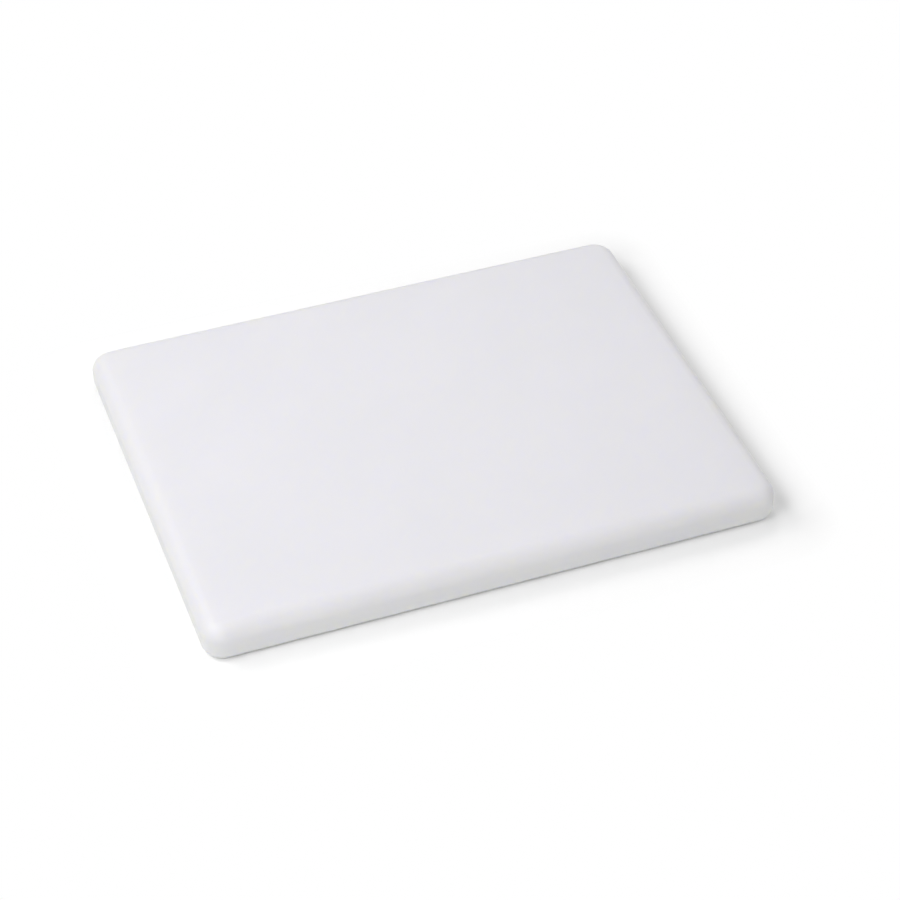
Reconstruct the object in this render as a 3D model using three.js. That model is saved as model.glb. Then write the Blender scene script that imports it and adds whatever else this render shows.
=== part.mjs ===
// A plain white cutting board: one solid slab of polyethylene with two flat faces and a rounded rim.
// Millimetres, +Z up. The board lies flat on its lower face, centred on the origin, long side along X.
import * as THREE from "three";

// Driving dimensions
const LENGTH = 330;
const WIDTH = 252;
const THICKNESS = 22;
// Radius of the four upright corners, seen from above
const CORNER_RADIUS = 12;
// Radius of the round that runs along the rim of the upper face
const TOP_EDGE_RADIUS = 9;
// Radius of the round that runs along the rim of the lower face
const BOTTOM_EDGE_RADIUS = 5;
// Facets along each quarter turn of a corner, and across each edge round
const CORNER_FACETS = 12;
const EDGE_FACETS = 8;

// A round stops just short of the middle of the slab's side
const LARGEST_ROUND = 0.49 * THICKNESS;
const TOP_ROUND = Math.min(TOP_EDGE_RADIUS, LARGEST_ROUND);
const BOTTOM_ROUND = Math.min(BOTTOM_EDGE_RADIUS, LARGEST_ROUND);
// Corners of the two flat faces never close up to a point
const SMALLEST_CORNER = 0.5;

// Polyethylene with white pigment, cool and a little milky
const POLYETHYLENE = new THREE.MeshStandardMaterial({
  name: "polyethylene",
  color: new THREE.Color(0.79, 0.79, 0.82),
  roughness: 0.55,
  metalness: 0,
});

// The board's outline drawn in by an inset, as points that run counter-clockwise seen from above.
// Every ring has the same number of points, so that neighbouring rings join point to point.
function outline(inset, z) {
  const radius = Math.max(CORNER_RADIUS - inset, SMALLEST_CORNER);
  const centreX = LENGTH / 2 - inset - radius;
  const centreY = WIDTH / 2 - inset - radius;
  const centres = [
    [centreX, centreY],
    [-centreX, centreY],
    [-centreX, -centreY],
    [centreX, -centreY],
  ];
  const points = [];
  centres.forEach(([x, y], quarter) => {
    for (let i = 0; i <= CORNER_FACETS; i += 1) {
      const angle = (Math.PI / 2) * (quarter + i / CORNER_FACETS);
      points.push(new THREE.Vector3(x + radius * Math.cos(angle), y + radius * Math.sin(angle), z));
    }
  });
  return points;
}

// Rings from the rim of the lower face, out over its round, up the side and in over the upper round.
function sideRings() {
  const rings = [];
  for (let i = 0; i <= EDGE_FACETS; i += 1) {
    const angle = (Math.PI / 2) * (i / EDGE_FACETS);
    const inset = BOTTOM_ROUND * (1 - Math.sin(angle));
    rings.push(outline(inset, BOTTOM_ROUND * (1 - Math.cos(angle))));
  }
  for (let i = 0; i <= EDGE_FACETS; i += 1) {
    const angle = (Math.PI / 2) * (i / EDGE_FACETS);
    const inset = TOP_ROUND * (1 - Math.cos(angle));
    rings.push(outline(inset, THICKNESS - TOP_ROUND * (1 - Math.sin(angle))));
  }
  return rings;
}

// Triangles of a flat face inside one ring
function faceTriangles(ring) {
  const rim = ring.map((point) => new THREE.Vector2(point.x, point.y));
  return THREE.ShapeUtils.triangulateShape(rim, []);
}

function boardGeometry() {
  const rings = sideRings();
  const count = rings[0].length;
  const positions = rings.flat().flatMap((point) => [point.x, point.y, point.z]);
  const index = [];
  for (let ring = 0; ring < rings.length - 1; ring += 1) {
    for (let i = 0; i < count; i += 1) {
      const a = ring * count + i;
      const b = ring * count + ((i + 1) % count);
      index.push(a, b, b + count);
      index.push(a, b + count, a + count);
    }
  }
  // Lower working face, seen from below
  for (const [a, b, c] of faceTriangles(rings[0])) {
    index.push(a, c, b);
  }
  // Upper working face
  const last = (rings.length - 1) * count;
  for (const [a, b, c] of faceTriangles(rings[rings.length - 1])) {
    index.push(last + a, last + b, last + c);
  }
  const geometry = new THREE.BufferGeometry();
  geometry.setAttribute("position", new THREE.Float32BufferAttribute(positions, 3));
  geometry.setIndex(index);
  geometry.computeVertexNormals();
  return geometry;
}

const board = new THREE.Mesh(boardGeometry(), POLYETHYLENE);
board.name = "board";

const cuttingBoard = new THREE.Group();
cuttingBoard.name = "cutting_board";
cuttingBoard.add(board);

export default cuttingBoard;
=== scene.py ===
"""A plain white polyethylene cutting board, lying on a pale studio floor."""

import math

import bpy
from mathutils import Matrix, Vector


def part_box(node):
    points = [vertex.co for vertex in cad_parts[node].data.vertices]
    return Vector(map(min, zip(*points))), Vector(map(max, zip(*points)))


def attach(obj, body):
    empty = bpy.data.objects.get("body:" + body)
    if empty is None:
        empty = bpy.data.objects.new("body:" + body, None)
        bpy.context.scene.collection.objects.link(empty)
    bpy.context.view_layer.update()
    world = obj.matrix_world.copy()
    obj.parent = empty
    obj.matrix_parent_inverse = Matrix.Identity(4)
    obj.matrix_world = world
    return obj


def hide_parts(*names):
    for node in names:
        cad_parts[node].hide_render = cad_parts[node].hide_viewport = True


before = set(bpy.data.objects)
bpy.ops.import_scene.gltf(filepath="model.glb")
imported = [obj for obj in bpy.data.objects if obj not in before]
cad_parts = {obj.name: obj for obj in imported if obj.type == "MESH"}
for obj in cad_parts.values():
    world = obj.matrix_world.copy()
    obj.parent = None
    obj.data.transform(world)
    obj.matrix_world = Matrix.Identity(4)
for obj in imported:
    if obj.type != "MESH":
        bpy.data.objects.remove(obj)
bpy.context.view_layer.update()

MM = 0.001
QUARTER_TURN = math.pi / 2

# The slab: its overall size from the CAD node, with the part's own radii
LOW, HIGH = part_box("board")
LENGTH = HIGH.x - LOW.x
WIDTH = HIGH.y - LOW.y
THICKNESS = HIGH.z - LOW.z
CORNER_RADIUS = 12 * MM
UPPER_RADIUS = 9 * MM
LOWER_RADIUS = 5 * MM
# The upper face is flat, and eases down a little over its last stretch before the board's sides
EASE_WIDTH = 21 * MM
EASE_DROP = 1.6 * MM

# The core is the rectangle of the four corners' centres, counter-clockwise seen from above
CORE_X = LENGTH / 2 - CORNER_RADIUS
CORE_Y = WIDTH / 2 - CORNER_RADIUS
CORE = [(CORE_X, CORE_Y), (-CORE_X, CORE_Y), (-CORE_X, -CORE_Y), (CORE_X, -CORE_Y)]

# Mesh steps round a corner, over an edge's round, up the side, and from the core out to a round
CORNER_STEPS = 20
EDGE_STEPS = 14
SIDE_STEPS = 2
RIM_STEPS = 2
# Mesh steps along the core's two sides
FACE_PITCH = 3 * MM
STEPS_X = round(2 * CORE_X / FACE_PITCH)
STEPS_Y = round(2 * CORE_Y / FACE_PITCH)

# White polyethylene; the scales are per metre
CLOUD_TINTS = ((0.791, 0.785, 0.823, 1.0), (0.806, 0.798, 0.838, 1.0))
CLOUD_SCALE = 22.0
UNEVEN_SCALE = 160.0
UNEVEN_HEIGHT = 0.05 * MM
UNEVEN_STRENGTH = 0.25
GRAIN_SCALE = 2400.0
GRAIN_HEIGHT = 0.03 * MM
GRAIN_STRENGTH = 0.3
SHEEN_SCALE = 90.0
ROUGHNESS = (0.46, 0.54)
REFRACTIVE_INDEX = 1.5
SCATTER_DISTANCE = 7 * MM
SCATTER_BY_COLOUR = (1.0, 0.97, 0.7)
# Nearly all of a noise's values lie in this range
NOISE_RANGE = (0.3, 0.7)

# The floor: the colour of the light that it gives back, and its looks near the board.
# Over a stretch beyond the board's sides, it turns plain white to the eye.
FLOOR_REACH = 4.0
FLOOR_BOUNCE = (0.945, 0.965, 0.90, 1.0)
FLOOR_NEAR = (1.04, 1.04, 1.04, 1.0)
FLOOR_FADE = (8 * MM, 34 * MM)

# Round soft lamps: azimuth and elevation in degrees, distance and width in metres, power in watts
LAMPS = {
    "left_front_softbox": (210, 42, 1.3, 0.7, 5.3),
    "left_back_softbox": (150, 42, 1.3, 0.7, 4.4),
    "left_top_softbox": (180, 60, 1.3, 0.7, 3.5),
    "right_back_softbox": (68, 50, 1.3, 0.7, 3.7),
    "right_front_fill": (330, 50, 1.6, 1.6, 7.5),
    "right_low_fill": (30, 15, 1.3, 0.7, 1.95),
    "front_low_fill": (270, 12, 1.3, 0.7, 3.1),
}

# The photograph's camera, fitted to the board's outline; the offsets are in board lengths
CAMERA_AZIMUTH = math.radians(-20.092)
CAMERA_ELEVATION = math.radians(41.28)
CAMERA_RIGHT = 0.0452
CAMERA_UP = -0.0068
CAMERA_BACK = 4.4347
CAMERA_LENS = 101.866
CAMERA_SENSOR = 36.0


def outline():
    """Points round the core, each with the direction in which the board's outline lies from it."""
    loop = []
    for quarter, (x, y) in enumerate(CORE):
        for i in range(CORNER_STEPS + 1):
            angle = QUARTER_TURN * (quarter + i / CORNER_STEPS)
            loop.append(((x, y), (math.cos(angle), math.sin(angle))))
        next_x, next_y = CORE[(quarter + 1) % 4]
        steps = STEPS_X if quarter % 2 == 0 else STEPS_Y
        facing = loop[-1][1]
        for i in range(1, steps):
            t = i / steps
            loop.append(((x + t * (next_x - x), y + t * (next_y - y)), facing))
    return loop


def border():
    """The outline's points as places in the core's grid; all points of a corner share one place."""
    corners = [(STEPS_X, STEPS_Y), (0, STEPS_Y), (0, 0), (STEPS_X, 0)]
    places = []
    for quarter, corner in enumerate(corners):
        places += [corner] * (CORNER_STEPS + 1)
        toward = corners[(quarter + 1) % 4]
        steps = STEPS_X if quarter % 2 == 0 else STEPS_Y
        for i in range(1, steps):
            t = i / steps
            places.append(tuple(round(a + t * (b - a)) for a, b in zip(corner, toward)))
    return places


def rim(radius):
    """One face's rim, out from the core: inset, height from the face, and the tilt of the normal."""
    steps = []
    for i in range(RIM_STEPS):
        t = (i + 1) / (RIM_STEPS + 1)
        steps.append((radius + (1 - t) * (CORNER_RADIUS - radius), 0.0, QUARTER_TURN))
    for i in range(EDGE_STEPS + 1):
        angle = QUARTER_TURN * i / EDGE_STEPS
        inset = radius * (1 - math.sin(angle))
        height = radius * (1 - math.cos(angle))
        steps.append((inset, height, QUARTER_TURN - angle))
    return steps


def section():
    """The slab's section, from the lower face to the upper: inset, height and tilt of the normal."""
    lower = [(inset, z, -tilt) for inset, z, tilt in rim(LOWER_RADIUS)]
    upper = [(inset, THICKNESS - z, tilt) for inset, z, tilt in reversed(rim(UPPER_RADIUS))]
    rise = THICKNESS - LOWER_RADIUS - UPPER_RADIUS
    side = [(0.0, LOWER_RADIUS + rise * i / SIDE_STEPS, 0.0) for i in range(1, SIDE_STEPS)]
    return lower + side + upper


def eased(point, normal):
    """A point of the plain slab and its normal, moved down where the upper face eases off."""
    (x, y, z), (nx, ny, nz) = point, normal
    # The whole drop at the upper face, and none from half the thickness down
    share = max(0.0, 2 * (z - LOW.z) / THICKNESS - 1)
    drop = 0.0
    slopes = []
    for place, half in ((x, LENGTH / 2), (y, WIDTH / 2)):
        t = max(0.0, abs(place) - half + EASE_WIDTH) / EASE_WIDTH
        drop += EASE_DROP * t * t
        slopes.append(math.copysign(2 * EASE_DROP * t / EASE_WIDTH, place))
    flatter = 1 - 2 * drop / THICKNESS if share > 0 else 1.0
    tilt_x, tilt_y = (share * slope * nz for slope in slopes)
    tilted = Vector((flatter * nx + tilt_x, flatter * ny + tilt_y, nz))
    return (x, y, z - share * drop), tilted.normalized()


def core_points(z):
    """The points of the core's grid at one height."""
    return [
        (CORE_X * (2 * i / STEPS_X - 1), CORE_Y * (2 * j / STEPS_Y - 1), z)
        for j in range(STEPS_Y + 1)
        for i in range(STEPS_X + 1)
    ]


def core_faces(start, ring):
    """Faces of the grid whose points begin at start, and of the strip from it out to a ring."""
    def grid(i, j):
        return start + j * (STEPS_X + 1) + i

    faces = []
    for j in range(STEPS_Y):
        for i in range(STEPS_X):
            faces.append((grid(i, j), grid(i + 1, j), grid(i + 1, j + 1), grid(i, j + 1)))
    places = border()
    for i, place in enumerate(places):
        j = (i + 1) % len(places)
        face = (ring + i, ring + j, grid(*places[j]), grid(*place))
        # Round a corner, the two inner points are the same one
        faces.append(face if face[2] != face[3] else face[:3])
    return faces


def slab(name):
    """A closed slab of rings round its side, with a grid of quads on each face."""
    loop = outline()
    rings = section()
    count = len(loop)
    points = []
    normals = []
    faces = []
    for inset, z, tilt in rings:
        reach = CORNER_RADIUS - inset
        for (x, y), (dx, dy) in loop:
            points.append((x + reach * dx, y + reach * dy, LOW.z + z))
            normals.append((dx * math.cos(tilt), dy * math.cos(tilt), math.sin(tilt)))
    for ring in range(len(rings) - 1):
        for i in range(count):
            a = ring * count + i
            b = ring * count + (i + 1) % count
            faces.append((a, b, b + count, a + count))

    last_ring = (len(rings) - 1) * count
    for z, up, ring in ((LOW.z, -1.0, 0), (LOW.z + THICKNESS, 1.0, last_ring)):
        start = len(points)
        points += core_points(z)
        normals += [(0.0, 0.0, up)] * (len(points) - start)
        for face in core_faces(start, ring):
            faces.append(face if up > 0 else face[::-1])

    points, normals = zip(*(eased(*pair) for pair in zip(points, normals)))
    mesh = bpy.data.meshes.new(name)
    mesh.from_pydata(points, [], faces)
    mesh.validate()
    mesh.polygons.foreach_set("use_smooth", [True] * len(mesh.polygons))
    mesh.normals_split_custom_set_from_vertices(normals)
    piece = bpy.data.objects.new(name, mesh)
    bpy.context.scene.collection.objects.link(piece)
    return piece


class Nodes:
    """Shorthands for building the nodes of a material or a world."""

    def __init__(self, owner):
        owner.use_nodes = True
        self.tree = owner.node_tree
        self.tree.nodes.clear()

    def add(self, kind, **values):
        node = self.tree.nodes.new(kind)
        for key, value in values.items():
            setattr(node, key, value)
        return node

    def link(self, source, target):
        self.tree.links.new(source, target)

    def noise(self, vector, scale, detail=2.0, rough=0.5):
        node = self.add("ShaderNodeTexNoise")
        node.inputs["Scale"].default_value = scale
        node.inputs["Detail"].default_value = detail
        node.inputs["Roughness"].default_value = rough
        self.link(vector, node.inputs["Vector"])
        return node.outputs["Fac"]

    def remap(self, value, old, new):
        """A value taken from one range to another, and held within it."""
        node = self.add("ShaderNodeMapRange")
        node.inputs["From Min"].default_value = old[0]
        node.inputs["From Max"].default_value = old[1]
        node.inputs["To Min"].default_value = new[0]
        node.inputs["To Max"].default_value = new[1]
        self.link(value, node.inputs["Value"])
        return node.outputs["Result"]

    def bump(self, height, distance, strength):
        node = self.add("ShaderNodeBump")
        node.inputs["Distance"].default_value = distance
        node.inputs["Strength"].default_value = strength
        self.link(height, node.inputs["Height"])
        return node

    def mix(self, factor, first, second):
        node = self.add("ShaderNodeMixShader")
        self.link(factor, node.inputs["Fac"])
        self.link(first, node.inputs[1])
        self.link(second, node.inputs[2])
        return node.outputs["Shader"]

    def seen_ray(self):
        """1 for what the eye sees, also in a reflection or through glass; 0 for light on its way."""
        path = self.add("ShaderNodeLightPath")
        value = path.outputs["Is Camera Ray"]
        for kind in ("Is Glossy Ray", "Is Transmission Ray"):
            either = self.add("ShaderNodeMath", operation="MAXIMUM")
            self.link(value, either.inputs[0])
            self.link(path.outputs[kind], either.inputs[1])
            value = either.outputs["Value"]
        return value


def polyethylene():
    """White polyethylene: cool white, milky under the surface, with a fine matte grain."""
    material = bpy.data.materials.new("white_polyethylene")
    n = Nodes(material)
    output = n.add("ShaderNodeOutputMaterial")
    shader = n.add("ShaderNodeBsdfPrincipled")
    n.link(shader.outputs["BSDF"], output.inputs["Surface"])
    where = n.add("ShaderNodeTexCoord").outputs["Object"]

    # Milky clouds, a few centimetres across
    tint = n.add("ShaderNodeMix", data_type="RGBA")
    tint.inputs["A"].default_value, tint.inputs["B"].default_value = CLOUD_TINTS
    cloud = n.noise(where, CLOUD_SCALE, detail=3.0)
    n.link(n.remap(cloud, NOISE_RANGE, (0.0, 1.0)), tint.inputs["Factor"])
    n.link(tint.outputs["Result"], shader.inputs["Base Color"])

    # The grain of the surface, finer than half a millimetre, on a faint unevenness of the sheet
    uneven = n.bump(n.noise(where, UNEVEN_SCALE), UNEVEN_HEIGHT, UNEVEN_STRENGTH)
    grain = n.bump(n.noise(where, GRAIN_SCALE, rough=0.6), GRAIN_HEIGHT, GRAIN_STRENGTH)
    n.link(uneven.outputs["Normal"], grain.inputs["Normal"])
    n.link(grain.outputs["Normal"], shader.inputs["Normal"])

    # Matte, a little uneven, and lit from a few millimetres under the surface
    sheen = n.noise(where, SHEEN_SCALE, detail=3.0)
    n.link(n.remap(sheen, NOISE_RANGE, ROUGHNESS), shader.inputs["Roughness"])
    shader.inputs["IOR"].default_value = REFRACTIVE_INDEX
    shader.inputs["Subsurface Weight"].default_value = 1.0
    shader.inputs["Subsurface Radius"].default_value = SCATTER_BY_COLOUR
    shader.inputs["Subsurface Scale"].default_value = SCATTER_DISTANCE
    return material


board = slab("board_slab")
board.data.materials.append(polyethylene())
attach(board, "root")
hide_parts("board")


def beyond_board(n):
    """How far a place on the floor lies beyond the board's sides."""
    place = n.add("ShaderNodeTexCoord").outputs["Object"]
    half_board = (LENGTH / 2, WIDTH / 2, 0)
    for operation, value in (("ABSOLUTE", None), ("SUBTRACT", half_board), ("MAXIMUM", (0, 0, 0))):
        step = n.add("ShaderNodeVectorMath", operation=operation)
        if value:
            step.inputs[1].default_value = value
        n.link(place, step.inputs[0])
        place = step.outputs["Vector"]
    length = n.add("ShaderNodeVectorMath", operation="LENGTH")
    n.link(place, length.inputs[0])
    return length.outputs["Value"]


def studio_floor():
    """A pale floor that keeps the board's shadow, and is white to the eye further out."""
    mesh = bpy.data.meshes.new("studio_floor")
    corners = [(-1, -1), (1, -1), (1, 1), (-1, 1)]
    mesh.from_pydata([(FLOOR_REACH * x, FLOOR_REACH * y, 0) for x, y in corners], [], [(0, 1, 2, 3)])
    floor = bpy.data.objects.new("studio_floor", mesh)
    bpy.context.scene.collection.objects.link(floor)

    material = bpy.data.materials.new("studio_floor")
    n = Nodes(material)
    output = n.add("ShaderNodeOutputMaterial")
    bounce = n.add("ShaderNodeBsdfDiffuse")
    bounce.inputs["Color"].default_value = FLOOR_BOUNCE
    near = n.add("ShaderNodeBsdfDiffuse")
    near.inputs["Color"].default_value = FLOOR_NEAR
    far = n.add("ShaderNodeEmission")
    fade = n.remap(beyond_board(n), FLOOR_FADE, (0.0, 1.0))
    seen = n.mix(fade, near.outputs["BSDF"], far.outputs["Emission"])
    n.link(n.mix(n.seen_ray(), bounce.outputs["BSDF"], seen), output.inputs["Surface"])
    mesh.materials.append(material)


def softbox(name, azimuth, elevation, distance, size, power):
    """A round soft lamp that faces the board."""
    a = math.radians(azimuth)
    e = math.radians(elevation)
    toward = Vector((math.cos(a) * math.cos(e), math.sin(a) * math.cos(e), math.sin(e)))
    data = bpy.data.lights.new(name, "AREA")
    data.shape = "DISK"
    data.size = size
    data.energy = power
    lamp = bpy.data.objects.new(name, data)
    lamp.location = distance * toward
    lamp.rotation_euler = toward.to_track_quat("Z", "Y").to_euler()
    bpy.context.scene.collection.objects.link(lamp)


def white_world():
    """White to the eye; all light on the board comes from the lamps."""
    world = bpy.data.worlds.new("studio")
    bpy.context.scene.world = world
    n = Nodes(world)
    output = n.add("ShaderNodeOutputWorld")
    dark = n.add("ShaderNodeBackground")
    dark.inputs["Strength"].default_value = 0.0
    white = n.add("ShaderNodeBackground")
    white.inputs["Color"].default_value = (1.0, 1.0, 1.0, 1.0)
    both = n.mix(n.seen_ray(), dark.outputs["Background"], white.outputs["Background"])
    n.link(both, output.inputs["Surface"])


def photo_camera():
    """The photograph's camera: a long lens, above the front edge and a little to its left."""
    flat = math.cos(CAMERA_ELEVATION)
    back = Vector((
        math.sin(CAMERA_AZIMUTH) * flat,
        -math.cos(CAMERA_AZIMUTH) * flat,
        math.sin(CAMERA_ELEVATION),
    ))
    right = Vector((math.cos(CAMERA_AZIMUTH), math.sin(CAMERA_AZIMUTH), 0.0))
    up = back.cross(right)
    data = bpy.data.cameras.new("photo_camera")
    data.sensor_width = CAMERA_SENSOR
    data.lens = CAMERA_LENS
    camera = bpy.data.objects.new("photo_camera", data)
    place = Matrix((right, up, back)).transposed().to_4x4()
    place.translation = LENGTH * (CAMERA_RIGHT * right + CAMERA_UP * up + CAMERA_BACK * back)
    camera.matrix_world = place
    bpy.context.scene.collection.objects.link(camera)
    bpy.context.scene.camera = camera


studio_floor()
white_world()
for lamp_name, lamp_values in LAMPS.items():
    softbox(lamp_name, *lamp_values)
photo_camera()

bpy.context.scene.view_settings.view_transform = "Standard"
